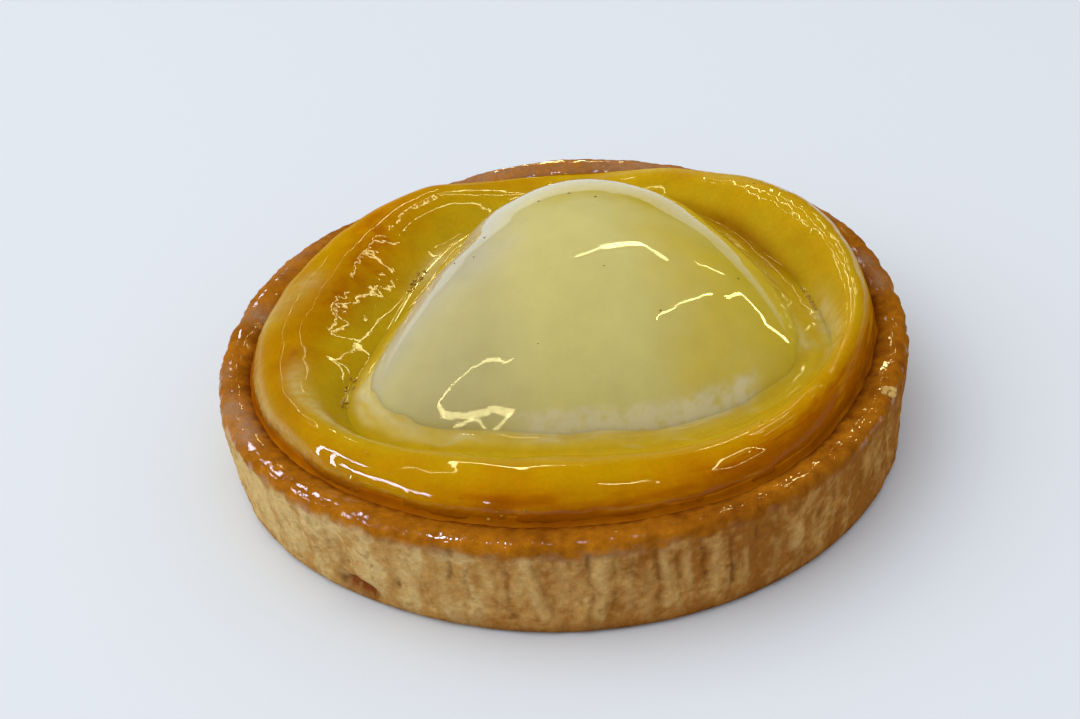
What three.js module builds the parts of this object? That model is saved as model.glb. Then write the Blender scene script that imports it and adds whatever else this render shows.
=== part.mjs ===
// Pear and almond tartlet: a round shortcrust case, a puffed ring of almond filling baked in it, and
// half a pear lying cut side down in the filling. Millimetres, +Z up, standing on z = 0 with the middle
// of its outline on the Z axis. The fat end of the pear points to -Y and its neck to +Y.
import * as THREE from 'three';

// Driving sizes, in millimetres
const RIM_RADIUS = 50; // outside of the pastry at its rim
const FOOT_RADIUS = 49.2; // outside of the pastry just above the table
const RIM_HEIGHT = 15.1; // top of the pastry rim above the table
const CASE_FLOOR = 3.2; // thickness of the pastry under the filling
const CASE_WALL = 5.4; // thickness of the pastry wall
const GAP = 0.3; // clear space between two neighbouring pieces
const CASE_CENTRE = new THREE.Vector2(0.5, -0.15); // centres the uneven outline on the Z axis
const PEAR_CENTRE = new THREE.Vector2(4, -3.15); // the pear's middle, a little off the case's
const PEAR_CREASE = 1.5; // height above the rim at which the pear comes out of the filling
const PEAR_DOME = 19; // height of the pear above that crease
const PEAR_LEAN = -3; // how far the top of the pear lies from its middle, towards the fat end
const PEAR_ROUND = 30; // radius that the pear's level lines round off to at its top
const PEAR_FULLNESS = 1.2; // 1 gives upright flanks, more gives a flatter cap
const PEAR_SUNK = 6; // depth of pear below the crease
const PEAR_BEVEL = 0.6; // rounding of the cut face's edge
const CREST_AT = 0.6; // where the filling is highest, from the pear (0) to the rim (1)
const VALLEY_RISE = 0.6; // height of the filling beside the pear, above the rim
const FILLING_TUCK = 0.5; // how far below the rim's top the filling meets it

// Uneven sizes, each a ring of values one every 30 degrees from +X through +Y
const RIM_OUT_OF_ROUND = [-0.9, 0.4, 0.5, 0.4, -0.3, -0.6, 0.1, 0.4, 0.2, 0.1, 1.2, -0.3];
const FOOT_OUT_OF_ROUND = [-1.6, -0.3, 0.4, 0.3, -0.1, -0.1, 0.3, 0.2, -0.4, 0.4, 0.7, -0.1];
const RIM_RISE = [-0.3, 0.2, 0.3, 1.1, 0, 0.7, -0.7, 0, 0.1, 0, 0.5, -0.2];
const RIM_BAND = [4.4, 4.6, 5.2, 5.3, 4.5, 5.7, 4.9, 5.2, 5.5, 5.4, 4.7, 5.4];
const FILLING_CREST = [5.2, 6.7, 4.3, 0.9, 5.3, 5.5, 4.0, 4.2, 4.3, 4.3, 4.3, 4.4];
const PEAR_OUTLINE = [29.2, 28.2, 33.0, 37.0, 31.4, 25.0, 28.0, 34.6, 29.3, 27.8, 30.6, 32.7];
const VALLEY_WIDTH = [3.3, 3.5, 2.8, 1.8, 3.2, 4.5, 1.8, 2.8, 1.8, 1.2, 0.9, 0.8];

// Sections. A pair is how far in from the outside and how far up or down from the table or rim top
const FOOT_ROUNDING = [[0.9, 0], [0.25, 0.35]];
const WALL_HEIGHTS = [1.4, 3.4, 6.2, 9, 11.8];
const RIM_ROUNDING = [[0, 1.3], [0.3, 0.45], [0.8, 0.15], [2, 0]];
const CORNER = 1.6; // rounding between the floor and the wall, inside the case
const FILLING_STEPS = [1, 0.97, 0.9, 0.78, 0.6, 0.42, 0.26, 0.12, 0];
const PEAR_STEPS = [1, 0.96, 0.9, 0.82, 0.72, 0.6, 0.46, 0.3, 0.14, 0];

// Relief of the pastry wall
const WALL_FURROWS = 34; // upright furrows round the wall
const FURROW_DEPTH = 0.45;
const NOTCH_ANGLE = THREE.MathUtils.degToRad(233); // a burnt nick in the foot of the wall
const NOTCH_HEIGHT = 2.3; // its middle above the table
const NOTCH_WIDTH = 3.2;
const NOTCH_DEPTH = 0.7;

// Fineness of the solids
const CASE_TURNS = 180;
const FILLING_TURNS = 96;
const PEAR_TURNS = 72;

/** Smooth closed curve through evenly spaced values, read at an angle in radians. */
function around(values, angle) {
  const count = values.length;
  const place = THREE.MathUtils.euclideanModulo((angle / (2 * Math.PI)) * count, count);
  const first = Math.floor(place);
  const part = place - first;
  const [before, start, end, after] = [-1, 0, 1, 2].map((step) => values[(first + step + count) % count]);
  const bend = 2 * before - 5 * start + 4 * end - after;
  const twist = 3 * (start - end) + after - before;
  return start + 0.5 * part * (end - before + part * (bend + part * twist));
}

/** Point at a radius, an angle and a height round a centre. */
function polar(centre, radius, angle, z) {
  return new THREE.Vector3(centre.x + radius * Math.cos(angle), centre.y + radius * Math.sin(angle), z);
}

/** Point round the middle of the case. */
function casePoint(radius, angle, z) {
  return polar(CASE_CENTRE, radius, angle, z);
}

/** Point round the middle of the pear. */
function pearPoint(radius, angle, z) {
  return polar(PEAR_CENTRE, radius, angle, z);
}

/**
 * Closed solid skinned over upright strips. stripAt(angle) lists a strip's points from the lower pole
 * round the outside to the upper pole; the two poles are the same for every strip.
 */
function skinGeometry(stripAt, turns) {
  const strips = Array.from({ length: turns }, (_, i) => stripAt((2 * Math.PI * i) / turns));
  const rings = strips[0].length - 2;
  const points = [strips[0][0]];
  for (const strip of strips) {
    points.push(...strip.slice(1, -1));
  }
  points.push(strips[0][rings + 1]);
  const upper = points.length - 1;
  const index = [];
  for (let i = 0; i < turns; i += 1) {
    const here = 1 + i * rings;
    const next = 1 + ((i + 1) % turns) * rings;
    index.push(0, next, here);
    for (let j = 0; j < rings - 1; j += 1) {
      index.push(here + j, next + j, next + j + 1);
      index.push(here + j, next + j + 1, here + j + 1);
    }
    index.push(here + rings - 1, next + rings - 1, upper);
  }
  const geometry = new THREE.BufferGeometry().setFromPoints(points);
  geometry.setIndex(index);
  geometry.computeVertexNormals();
  return geometry;
}

/** Outside radius of the pastry rim. */
function rimRadius(angle) {
  return RIM_RADIUS + around(RIM_OUT_OF_ROUND, angle);
}

/** Height of the pastry rim. */
function rimHeight(angle) {
  return RIM_HEIGHT + around(RIM_RISE, angle);
}

/** Outside radius of the wall just above the table. */
function footRadius(angle) {
  return FOOT_RADIUS + around(FOOT_OUT_OF_ROUND, angle);
}

/** Depth of the upright furrows and of the burnt nick at a place on the pastry wall. */
function wallRelief(angle, height) {
  const wander = 0.7 * Math.sin(5 * angle + 0.5) + 0.5 * Math.sin(13 * angle);
  const lean = 0.3 * Math.sin(9 * angle + 2) * (height / RIM_HEIGHT);
  const furrow = Math.max(0, Math.cos(WALL_FURROWS * angle + wander + lean)) ** 2;
  const strength = 0.6 + 0.4 * Math.sin(11 * angle + 1.3);
  const fade = Math.sin(Math.PI * THREE.MathUtils.clamp(height / (RIM_HEIGHT - 1), 0, 1)) ** 0.6;
  const along = (angle - NOTCH_ANGLE) * FOOT_RADIUS;
  const notch = Math.exp(-((along / NOTCH_WIDTH) ** 4)) * Math.exp(-(((height - NOTCH_HEIGHT) / 1.6) ** 2));
  return FURROW_DEPTH * furrow * strength * fade + NOTCH_DEPTH * notch;
}

/** Shortcrust case: a flat floor, a slightly flared wall and a rounded rim that dips to the filling. */
function pastryCaseStrip(angle) {
  const rim = rimRadius(angle);
  const top = rimHeight(angle);
  const foot = footRadius(angle);
  const lip = rim - around(RIM_BAND, angle);
  const bore = rim - CASE_WALL;
  const wall = (height) => {
    const radius = THREE.MathUtils.lerp(foot, rim, height / top);
    return casePoint(radius - wallRelief(angle, height), angle, height);
  };
  return [
    casePoint(0, angle, 0),
    ...FOOT_ROUNDING.map(([inwards, up]) => casePoint(foot - inwards, angle, up)),
    ...WALL_HEIGHTS.map(wall),
    ...RIM_ROUNDING.map(([inwards, down]) => casePoint(rim - inwards, angle, top - down)),
    casePoint((rim + lip) / 2 - 0.6, angle, top - 0.25),
    casePoint(lip + 0.3, angle, top - 0.9),
    casePoint(lip - 0.9, angle, top - 1.9),
    casePoint(bore - 0.5, angle, CASE_FLOOR + CORNER),
    casePoint(bore - 0.5 - CORNER, angle, CASE_FLOOR),
    casePoint(0, angle, CASE_FLOOR),
  ];
}

/** Outline of the pear where it comes out of the filling. */
function pearRadius(angle) {
  return around(PEAR_OUTLINE, angle);
}

/**
 * Top of the filling from the pear (0) to the rim (1): up from the valley beside the pear to a rounded
 * crest, then steeply down to the rim.
 */
function fillingTop(angle, part) {
  const valley = pearPoint(pearRadius(angle) + GAP + around(VALLEY_WIDTH, angle), angle, 0);
  const edge = casePoint(rimRadius(angle) - around(RIM_BAND, angle), angle, 0);
  const point = valley.lerp(edge, part);
  const low = RIM_HEIGHT + VALLEY_RISE;
  const foot = rimHeight(angle) - FILLING_TUCK;
  const crest = RIM_HEIGHT + around(FILLING_CREST, angle);
  if (part < CREST_AT) {
    point.z = low + (crest - low) * Math.sin((Math.PI / 2) * (part / CREST_AT)) ** 1.4;
  } else {
    point.z = foot + (crest - foot) * Math.sqrt(1 - ((part - CREST_AT) / (1 - CREST_AT)) ** 2);
  }
  return point;
}

/** Almond filling: fills the case up to the rim, puffs up in a ring and dips to the pear it holds. */
function almondFillingStrip(angle) {
  const rim = rimRadius(angle);
  const corner = rim - CASE_WALL - GAP - 0.6;
  const lip = rim - around(RIM_BAND, angle);
  const recess = pearRadius(angle) + GAP;
  const recessFloor = RIM_HEIGHT + PEAR_CREASE - PEAR_SUNK - GAP;
  return [
    casePoint(0, angle, CASE_FLOOR + GAP),
    casePoint(corner - CORNER, angle, CASE_FLOOR + GAP),
    casePoint(corner, angle, CASE_FLOOR + GAP + CORNER),
    casePoint(lip - 1.3, angle, rimHeight(angle) - 2),
    ...FILLING_STEPS.map((part) => fillingTop(angle, part)),
    pearPoint(recess, angle, RIM_HEIGHT + PEAR_CREASE - GAP),
    pearPoint(recess, angle, recessFloor),
    pearPoint(0, angle, recessFloor),
  ];
}

/** Height of the pear above its crease, from 1 at its top to 0 at its outline. */
function pearCap(part) {
  const edge = Math.sqrt(PEAR_FULLNESS ** 2 - 1);
  return (Math.sqrt(PEAR_FULLNESS ** 2 - part ** 2) - edge) / (PEAR_FULLNESS - edge);
}

/** Point on the pear's dome, from its top (0) to its crease (1). */
function pearDome(angle, part) {
  const level = THREE.MathUtils.lerp(PEAR_ROUND, pearRadius(angle), part ** 0.7);
  const height = RIM_HEIGHT + PEAR_CREASE + PEAR_DOME * pearCap(part);
  const point = pearPoint(part * level, angle, height);
  point.y += PEAR_LEAN * (1 - part ** 2);
  return point;
}

/** Half a pear, cut side down: a flat cut face, a short sunk flank and a dome leaning to the fat end. */
function pearHalfStrip(angle) {
  const cut = RIM_HEIGHT + PEAR_CREASE - PEAR_SUNK;
  return [
    pearPoint(0, angle, cut),
    pearPoint(pearRadius(angle) - PEAR_BEVEL, angle, cut),
    pearPoint(pearRadius(angle), angle, cut + PEAR_BEVEL),
    ...PEAR_STEPS.map((part) => pearDome(angle, part)),
  ];
}

/** Named mesh with a plain material of its own. */
function piece(name, geometry, color, roughness) {
  const material = new THREE.MeshStandardMaterial({ color, roughness, metalness: 0 });
  const mesh = new THREE.Mesh(geometry, material);
  mesh.name = name;
  return mesh;
}

const tartlet = new THREE.Group();
tartlet.add(piece('pastry_case', skinGeometry(pastryCaseStrip, CASE_TURNS), 0xb9813f, 0.6));
tartlet.add(piece('almond_filling', skinGeometry(almondFillingStrip, FILLING_TURNS), 0xd9a21f, 0.3));
tartlet.add(piece('pear_half', skinGeometry(pearHalfStrip, PEAR_TURNS), 0xd6cf8a, 0.2));

export default tartlet;
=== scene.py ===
"""Looks of the pear and almond tartlet: a glazed shortcrust case, puffed almond filling and half a pear.

Shapes are worked out in millimetres, in the frame of the solids, and scaled to metres at the end. An angle
runs round +Z from +X. On the filling, part runs from the pear (0) to the rim of the case (1).
"""

import bpy
import numpy as np
from mathutils import Euler, Matrix, Vector


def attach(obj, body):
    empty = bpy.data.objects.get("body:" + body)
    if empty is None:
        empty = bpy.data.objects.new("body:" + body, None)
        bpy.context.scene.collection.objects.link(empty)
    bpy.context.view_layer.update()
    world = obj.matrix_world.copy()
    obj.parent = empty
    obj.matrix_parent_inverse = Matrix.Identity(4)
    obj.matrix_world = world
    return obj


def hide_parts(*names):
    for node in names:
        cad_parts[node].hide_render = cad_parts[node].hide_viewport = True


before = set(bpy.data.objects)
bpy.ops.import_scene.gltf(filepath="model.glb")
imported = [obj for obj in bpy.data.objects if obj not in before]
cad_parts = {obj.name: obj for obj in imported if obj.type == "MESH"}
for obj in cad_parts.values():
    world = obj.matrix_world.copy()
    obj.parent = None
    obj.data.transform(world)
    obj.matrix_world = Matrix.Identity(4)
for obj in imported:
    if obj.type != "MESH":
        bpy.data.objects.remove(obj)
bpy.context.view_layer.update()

MM = 0.001
TURN = 2 * np.pi

# Sizes of the solids, in millimetres
RIM_RADIUS, FOOT_RADIUS, RIM_HEIGHT = 50.0, 49.2, 15.1
CASE_FLOOR, CASE_WALL, GAP = 3.2, 5.4, 0.3
CASE_CENTRE = np.array([0.5, -0.15])
PEAR_CENTRE = np.array([4.0, -3.15])
PEAR_CREASE, PEAR_DOME, PEAR_LEAN = 1.5, 19.0, -3.0
PEAR_ROUND, PEAR_FULLNESS, PEAR_SUNK, PEAR_BEVEL = 30.0, 1.2, 6.0, 0.6
CREST_AT, VALLEY_RISE, FILLING_TUCK, CORNER = 0.6, 0.6, 0.5, 1.6

# Uneven sizes, each a ring of values one every 30 degrees from +X through +Y
RIM_OUT_OF_ROUND = (-0.9, 0.4, 0.5, 0.4, -0.3, -0.6, 0.1, 0.4, 0.2, 0.1, 1.2, -0.3)
FOOT_OUT_OF_ROUND = (-1.6, -0.3, 0.4, 0.3, -0.1, -0.1, 0.3, 0.2, -0.4, 0.4, 0.7, -0.1)
RIM_RISE = (-0.3, 0.2, 0.3, 1.1, 0, 0.7, -0.7, 0, 0.1, 0, 0.5, -0.2)
RIM_BAND = (4.4, 4.6, 5.2, 5.3, 4.5, 5.7, 4.9, 5.2, 5.5, 5.4, 4.7, 5.4)
FILLING_CREST = (5.2, 6.7, 4.3, 0.9, 5.3, 5.5, 4.0, 4.2, 4.3, 4.3, 4.3, 4.4)
PEAR_OUTLINE = (29.2, 28.2, 33.0, 37.0, 31.4, 25.0, 28.0, 34.6, 29.3, 27.8, 30.6, 32.7)
VALLEY_WIDTH = (3.3, 3.5, 2.8, 1.8, 3.2, 4.5, 1.8, 2.8, 1.8, 1.2, 0.9, 0.8)

# Relief of the pastry wall
WALL_FURROWS, FURROW_DEPTH = 34, 0.45
NOTCH_ANGLE, NOTCH_HEIGHT, NOTCH_WIDTH, NOTCH_DEPTH = np.radians(233), 2.3, 3.2, 0.7

# Bending of light in the clear coat that stands for the glaze
GLAZE_IOR = 1.27


# ---------------------------------------- numbers and curves

def around(values, angle):
    """Smooth closed curve through evenly spaced values, read at angles in radians."""
    values = np.asarray(values, float)
    count = len(values)
    place = (angle / TURN * count) % count
    first = np.floor(place).astype(int)
    part = place - first
    before, start, end, after = (values[(first + step) % count] for step in (-1, 0, 1, 2))
    bend = 2 * before - 5 * start + 4 * end - after
    twist = 3 * (start - end) + after - before
    return start + 0.5 * part * (end - before + part * (bend + part * twist))


def ease(low, high, value):
    """0 below low, 1 above high and smooth between them; low may be the larger."""
    t = np.clip((value - low) / (high - low), 0, 1)
    return t * t * (3 - 2 * t)


def mix(a, b, share):
    """Colours or numbers from a to b by share; a share of one number a place may meet a colour."""
    a, b, share = np.asarray(a, float), np.asarray(b, float), np.asarray(share, float)
    if a.shape[-1:] == (3,) or b.shape[-1:] == (3,):
        share = share[..., None]
    return a + (b - a) * share


def lumps(points, size, seed):
    """Smooth noise, about -1 to 1, at points in millimetres; size is about the distance between lumps."""
    draw = np.random.RandomState(seed)
    order = draw.permutation(256)
    slopes = draw.normal(size=(256, 3))
    slopes /= np.linalg.norm(slopes, axis=1)[:, None]
    place = np.asarray(points).reshape(-1, 3) / size
    cell = np.floor(place).astype(int)
    part = place - cell
    blend = part ** 3 * (part * (part * 6 - 15) + 10)
    total = np.zeros(len(place))
    for x in (0, 1):
        for y in (0, 1):
            for z in (0, 1):
                one = order[(cell[:, 0] + x) & 255]
                two = order[(one + cell[:, 1] + y) & 255]
                pick = order[(two + cell[:, 2] + z) & 255]
                rise = (slopes[pick] * (part - (x, y, z))).sum(1)
                corner = np.where((x, y, z), blend, 1 - blend)
                total += corner.prod(1) * rise
    return 1.6 * total.reshape(np.asarray(points).shape[:-1])


def rough(points, size, seed, octaves=3, gain=0.5):
    """Noise with finer and finer lumps."""
    return sum(gain ** k * lumps(points, size / 2 ** k, seed + k) for k in range(octaves))


def srgb(red, green, blue):
    """Linear colour of an 8-bit screen colour."""
    c = np.array([red, green, blue]) / 255
    return np.where(c <= 0.04045, c / 12.92, ((c + 0.055) / 1.055) ** 2.4)


def degrees_apart(angle, other):
    """How far an angle in radians lies from one in degrees, in degrees, from -180 to 180."""
    return (np.degrees(angle) - other + 180) % 360 - 180


def sector(angle, middle, inner, outer):
    """1 within inner degrees of the middle, 0 from outer degrees on and smooth between them."""
    return ease(outer, inner, np.abs(degrees_apart(angle, middle)))


def blobs(angle, part, spots):
    """Sum of soft spots (degrees, part, half width in degrees, half width in part, strength)."""
    total = np.zeros(np.broadcast(angle, part).shape)
    for where, at, wide, deep, strength in spots:
        away = (degrees_apart(angle, where) / wide) ** 2 + ((part - at) / deep) ** 2
        total = total + strength * np.exp(-away)
    return total


# ---------------------------------------- meshes

def polar(centre, radius, angle, height):
    """Points at radii, angles and heights round a centre, all of one shape."""
    radius, angle, height = np.broadcast_arrays(radius, angle, height)
    return np.stack([centre[0] + radius * np.cos(angle), centre[1] + radius * np.sin(angle), height], -1)


def outward(grid):
    """Unit normals of a grid of points whose first axis runs round and whose second runs outwards and up."""
    round_ = np.roll(grid, -1, 0) - np.roll(grid, 1, 0)
    along = np.gradient(grid, axis=1)
    normal = np.cross(round_, along)
    return normal / np.maximum(np.linalg.norm(normal, axis=-1), 1e-9)[..., None]


def densify(knots, counts):
    """Steps along straight runs between knots, each (angles, 2); counts gives each run's steps."""
    rows = [knots[0][:, None]]
    for start, end, count in zip(knots, knots[1:], counts):
        share = ((np.arange(count) + 1) / count)[None, :, None]
        rows.append(start[:, None] + (end - start)[:, None] * share)
    return np.concatenate(rows, 1)


def soften(path, passes):
    """Rounds the corners of paths (angles, steps, n), ends kept."""
    path = path.copy()
    for _ in range(passes):
        path[:, 1:-1] = 0.25 * path[:, :-2] + 0.5 * path[:, 1:-1] + 0.25 * path[:, 2:]
    return path


def new_object(name, points, faces, values=None, material=None, slot=None, replaces=()):
    """Smooth mesh in metres that rides on the tartlet, with a named value or colour for each point."""
    mesh = bpy.data.meshes.new(name)
    mesh.from_pydata((np.asarray(points) * MM).tolist(), [], faces)
    mesh.polygons.foreach_set("use_smooth", np.ones(len(mesh.polygons), bool))
    for key, data in (values or {}).items():
        data = np.asarray(data, np.float32)
        if data.ndim == 2:
            layer = mesh.attributes.new(key, "FLOAT_COLOR", "POINT")
            colour = np.concatenate([data, np.ones((len(data), 1), np.float32)], 1)
            layer.data.foreach_set("color", colour.ravel())
        else:
            mesh.attributes.new(key, "FLOAT", "POINT").data.foreach_set("value", data)
    mesh.update()
    piece = bpy.data.objects.new(name, mesh)
    bpy.context.scene.collection.objects.link(piece)
    if material:
        mesh.materials.append(material)
    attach(piece, "root")
    if replaces:
        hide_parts(*replaces)
    return piece


def skin(name, grid, low, high, values, **more):
    """Closed solid over a grid of points (turns, rings) that runs from a low pole to a high pole."""
    turns, rings = grid.shape[:2]
    points = np.concatenate([[low], grid.reshape(-1, 3), [high]])
    here = (1 + np.arange(turns) * rings)[:, None] + np.arange(rings - 1)
    after = np.roll(here, -1, 0)
    quads = np.stack([here, after, after + 1, here + 1], -1).reshape(-1, 4)
    first, last = here[:, 0], here[:, -1] + 1
    under = np.stack([np.zeros(turns, int), np.roll(first, -1), first], 1)
    over = np.stack([last, np.roll(last, -1), np.full(turns, len(points) - 1)], 1)
    faces = quads.tolist() + under.tolist() + over.tolist()
    flat = {}
    for key, data in values.items():
        data = np.broadcast_to(data, (turns, rings) + np.shape(data)[2:])
        body = data.reshape((turns * rings,) + data.shape[2:])
        flat[key] = np.concatenate([data[:, 0].mean(0)[None], body, data[:, -1].mean(0)[None]])
    return new_object(name, points, faces, flat, **more)


# ---------------------------------------- shape of the tartlet

def rim_radius(angle):
    return RIM_RADIUS + around(RIM_OUT_OF_ROUND, angle)


def rim_height(angle):
    return RIM_HEIGHT + around(RIM_RISE, angle)


def foot_radius(angle):
    return FOOT_RADIUS + around(FOOT_OUT_OF_ROUND, angle)


def lip_radius(angle):
    return rim_radius(angle) - around(RIM_BAND, angle)


def pear_radius(angle):
    return around(PEAR_OUTLINE, angle)


def wall_relief(angle, height):
    """Depth of the upright furrows and of the burnt nick at places on the pastry wall."""
    wander = 0.7 * np.sin(5 * angle + 0.5) + 0.5 * np.sin(13 * angle)
    lean = 0.3 * np.sin(9 * angle + 2) * (height / RIM_HEIGHT)
    furrow = np.maximum(0, np.cos(WALL_FURROWS * angle + wander + lean)) ** 2
    strength = 0.6 + 0.4 * np.sin(11 * angle + 1.3)
    fade = np.sin(np.pi * np.clip(height / (RIM_HEIGHT - 1), 0, 1)) ** 0.6
    along = (angle - NOTCH_ANGLE) * FOOT_RADIUS
    notch = np.exp(-((along / NOTCH_WIDTH) ** 4)) * np.exp(-(((height - NOTCH_HEIGHT) / 1.6) ** 2))
    return FURROW_DEPTH * furrow * strength * fade + NOTCH_DEPTH * notch


def filling_height(angle, part):
    """Height of the filling's top."""
    low = RIM_HEIGHT + VALLEY_RISE
    foot = rim_height(angle) - FILLING_TUCK
    crest = RIM_HEIGHT + around(FILLING_CREST, angle)
    inner = low + (crest - low) * np.sin(np.pi / 2 * np.clip(part / CREST_AT, 0, 1)) ** 1.4
    past = np.clip((part - CREST_AT) / (1 - CREST_AT), 0, 1)
    return np.where(part < CREST_AT, inner, foot + (crest - foot) * np.sqrt(1 - past ** 2))


def filling_point(angle, part):
    """Points on the filling's top."""
    valley = polar(PEAR_CENTRE, pear_radius(angle) + GAP + around(VALLEY_WIDTH, angle), angle, 0)
    edge = polar(CASE_CENTRE, lip_radius(angle), angle, 0)
    angle, part = np.broadcast_arrays(angle, part)
    point = mix(valley, edge, part)
    point[..., 2] = filling_height(angle, part)
    return point


def pear_cap(part):
    edge = np.sqrt(PEAR_FULLNESS ** 2 - 1)
    return (np.sqrt(PEAR_FULLNESS ** 2 - part ** 2) - edge) / (PEAR_FULLNESS - edge)


def pear_point(angle, part):
    """Points on the pear's dome, from its top (0) to its crease (1)."""
    level = mix(PEAR_ROUND, pear_radius(angle), part ** 0.7)
    point = polar(PEAR_CENTRE, part * level, angle, RIM_HEIGHT + PEAR_CREASE + PEAR_DOME * pear_cap(part))
    point[..., 1] += PEAR_LEAN * (1 - part ** 2)
    return point


# ---------------------------------------- materials

class Nodes:
    """Short ways to add nodes to a node tree."""

    def __init__(self, tree):
        self.tree = tree

    def set(self, node, **inputs):
        """Sets or links inputs, by name with _ for a space or by number after a _."""
        for key, value in inputs.items():
            socket = node.inputs[int(key[1:]) if key[0] == "_" else key.replace("_", " ")]
            if isinstance(value, bpy.types.NodeSocket):
                self.tree.links.new(value, socket)
            else:
                socket.default_value = value

    def add(self, kind, settings=None, **inputs):
        node = self.tree.nodes.new(kind)
        for key, value in (settings or {}).items():
            setattr(node, key, value)
        self.set(node, **inputs)
        return node

    def math(self, operation, first, second):
        return self.add("ShaderNodeMath", {"operation": operation}, _0=first, _1=second).outputs[0]


class Shader(Nodes):
    """A material with a Principled shader."""

    def __init__(self, name, **inputs):
        self.material = bpy.data.materials.new(name)
        self.material.use_nodes = True
        super().__init__(self.material.node_tree)
        self.main = self.tree.nodes["Principled BSDF"]
        self.set(self.main, **inputs)
        self.place = self.add("ShaderNodeTexCoord").outputs["Object"]

    def value(self, name):
        return self.add("ShaderNodeAttribute", {"attribute_name": name}).outputs["Fac"]

    def colour(self, name):
        return self.add("ShaderNodeAttribute", {"attribute_name": name}).outputs["Color"]

    def noise(self, size, detail=3.0, roughness=0.6):
        """Noise whose lumps are about size millimetres apart."""
        return self.add("ShaderNodeTexNoise", Vector=self.place, Scale=1 / (size * MM), Detail=detail,
                        Roughness=roughness).outputs["Fac"]

    def spread(self, value, low, high, to_low, to_high):
        return self.add("ShaderNodeMapRange", Value=value, From_Min=low, From_Max=high, To_Min=to_low,
                        To_Max=to_high).outputs[0]

    def tone(self, colour, value):
        """The colour made lighter or darker by a value round 1."""
        node = self.add("ShaderNodeVectorMath", {"operation": "SCALE"}, _0=colour)
        self.tree.links.new(value, node.inputs["Scale"])
        return node.outputs[0]

    def bump(self, height, strength, depth, normal=None):
        node = self.add("ShaderNodeBump", Height=height, Strength=strength, Distance=depth * MM)
        if normal:
            self.tree.links.new(normal, node.inputs["Normal"])
        return node.outputs[0]


def pastry_material():
    m = Shader("pastry", Coat_IOR=GLAZE_IOR, Coat_Roughness=0.04, Specular_IOR_Level=0.0)
    wet, colour = m.value("wet"), m.colour("tint")
    grain = m.noise(0.4, 5.0, 0.75)
    spots = m.noise(1.7, 4.0, 0.7)
    tone = m.math("MULTIPLY", m.spread(grain, 0.3, 0.7, 0.84, 1.17), m.spread(spots, 0.3, 0.7, 0.86, 1.13))
    crumb = m.bump(grain, 0.5, 0.2)
    m.set(m.main, Base_Color=m.tone(colour, tone), Roughness=m.spread(wet, 0, 1, 0.8, 0.45),
          Normal=m.bump(spots, 0.4, 0.35, crumb), Coat_Weight=wet,
          Coat_Normal=m.bump(m.noise(1.1, 3.0, 0.6), 0.35, 0.09))
    return m.material


def filling_material():
    m = Shader("filling", Coat_IOR=GLAZE_IOR, Coat_Roughness=0.03, Specular_IOR_Level=0.0, Roughness=0.5,
               Subsurface_Weight=0.25, Subsurface_Radius=(1.0, 0.55, 0.2), Subsurface_Scale=0.003)
    grain = m.noise(0.6, 5.0, 0.7)
    cloud = m.noise(4.0, 3.0, 0.55)
    tone = m.math("MULTIPLY", m.spread(grain, 0.3, 0.7, 0.93, 1.07), m.spread(cloud, 0.3, 0.7, 0.94, 1.05))
    m.set(m.main, Base_Color=m.tone(m.colour("tint"), tone), Normal=m.bump(grain, 0.5, 0.15),
          Coat_Normal=m.bump(m.noise(1.8, 3.0, 0.55), 0.15, 0.06), Coat_Weight=m.value("wet"))
    return m.material


def pear_material():
    m = Shader("pear", Coat_IOR=GLAZE_IOR, Coat_Roughness=0.02, Specular_IOR_Level=0.0, Roughness=0.4,
               Subsurface_Weight=0.5, Subsurface_Radius=(1.0, 0.8, 0.45), Subsurface_Scale=0.005)
    cloud = m.noise(5.0, 4.0, 0.6)
    grain = m.noise(0.45, 3.0, 0.6)
    tone = m.math("MULTIPLY", m.spread(cloud, 0.3, 0.7, 0.97, 1.03), m.spread(grain, 0.3, 0.7, 0.985, 1.015))
    m.set(m.main, Base_Color=m.tone(m.colour("tint"), tone), Normal=m.bump(grain, 0.3, 0.05),
          Coat_Weight=m.value("wet"), Coat_Normal=m.bump(m.noise(4.5, 2.0, 0.5), 0.35, 0.12))
    return m.material


def glaze_material(name, gloss=1.0, blur=0.02, soft=0.3):
    m = Shader(name, Coat_IOR=GLAZE_IOR, Coat_Roughness=blur, Coat_Weight=gloss, Specular_IOR_Level=0.0,
               Roughness=0.4, Subsurface_Weight=soft, Subsurface_Radius=(1.0, 0.7, 0.3),
               Subsurface_Scale=0.002)
    cloud = m.noise(1.6, 4.0, 0.6)
    m.set(m.main, Base_Color=m.tone(m.colour("tint"), m.spread(cloud, 0.3, 0.7, 0.95, 1.05)),
          Coat_Normal=m.bump(m.noise(2.5, 2.0, 0.5), 0.4, 0.08))
    return m.material


def crumb_material():
    m = Shader("crumb", Roughness=0.6, Specular_IOR_Level=0.1)
    grain = m.noise(0.5, 3.0, 0.6)
    m.set(m.main, Base_Color=m.tone(m.colour("tint"), m.spread(grain, 0.3, 0.7, 0.7, 1.2)),
          Normal=m.bump(grain, 0.5, 0.15))
    return m.material


# ---------------------------------------- pastry case

CRUST_TURNS = 1200
STRAW, TAN, BROWN = srgb(212, 182, 122), srgb(188, 144, 80), srgb(146, 90, 32)
# Of these colours, the dark red-brown one darkens the rim next to the filling as painted crease shade
BURNT, VIOLET, RIM_CREASE_SHADE, SINGED = srgb(88, 46, 18), srgb(128, 80, 50), srgb(112, 52, 6), srgb(126, 60, 20)
# The last rim colour here, the pale one, is a painted sheen
RIM_AMBER, RIM_DARK, RIM_PAINTED_SHEEN = srgb(178, 112, 20), srgb(130, 73, 12), srgb(164, 128, 98)

# How brown the wall is, one value every 30 degrees from +X through +Y
WALL_BAKE = (0.8, 0.6, 0.5, 0.6, 0.5, 0.4, 0.2, 0.14, 0.34, 0.72, 0.85, 0.9)
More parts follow.
